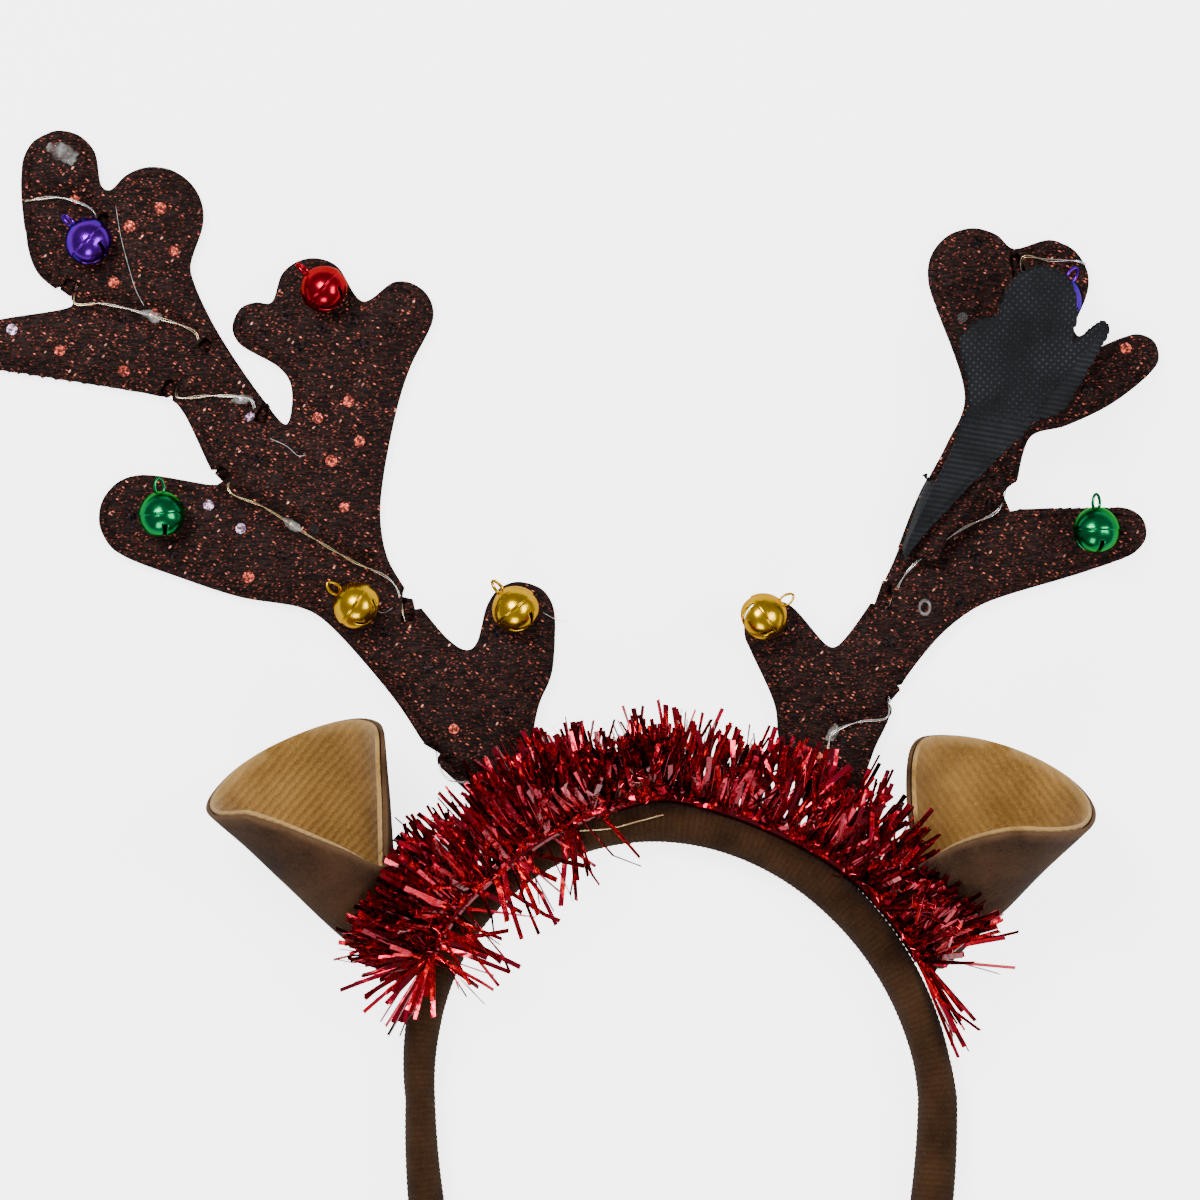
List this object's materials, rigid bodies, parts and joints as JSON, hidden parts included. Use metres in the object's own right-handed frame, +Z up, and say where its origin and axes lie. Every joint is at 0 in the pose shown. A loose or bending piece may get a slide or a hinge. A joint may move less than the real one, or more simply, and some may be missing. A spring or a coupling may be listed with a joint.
{
  "type": "reindeer antler headband",
  "caption": "Costume headband with padded glitter antlers wound with wire lights, rolled felt ears, a tinsel garland and jingle bells, lying on its back.",
  "frame": {"origin": "under the middle of the object, on the surface that it lies on", "axes": "+Y from the band's legs to the antler tips, +X towards the antler with the folded beam, +Z up from the surface, out of the antlers' fronts"},
  "size_m": [0.3082, 0.3166, 0.0491],
  "materials": {
    "band_knit": "brown ribbed knit, matt",
    "antler_fabric": "dark brown satin with coppery glitter thread and sequins",
    "antler_backing": "black non-woven with an embossed dot pattern",
    "ear_felt": "brown felt, matt",
    "ear_velour": "golden tan velour with fine ribs",
    "tinsel_film": "metallised red film, mirror bright",
    "bell_gold": "gold, glossy metallic lacquer",
    "bell_green": "green, glossy metallic lacquer",
    "bell_red": "red, glossy metallic lacquer",
    "bell_purple": "purple, glossy metallic lacquer",
    "light_wire": "thin lacquered silver wire",
    "light_drop": "clear drop over a small light"
  },
  "bodies": {
    "root": {"band": "band_knit", "left_antler_pad": "antler_fabric", "left_antler_backing": "antler_backing", "left_light_wire": "light_wire", "left_bell_purple": "bell_purple", "left_bell_red": "bell_red", "left_bell_green": "bell_green", "left_bell_stem_gold": "bell_gold", "left_bell_tine_gold": "bell_gold", "right_antler_pad": "antler_fabric", "right_antler_backing": "antler_backing", "right_light_wire": "light_wire", "right_bell_purple": "bell_purple", "right_bell_red": "bell_red", "right_bell_green": "bell_green", "right_bell_tine_gold": "bell_gold", "left_ear_shell": "ear_felt", "left_ear_lining": "ear_velour", "right_ear_shell": "ear_felt", "right_ear_lining": "ear_velour", "tinsel_garland": "tinsel_film"}
  },
  "joints": []
}
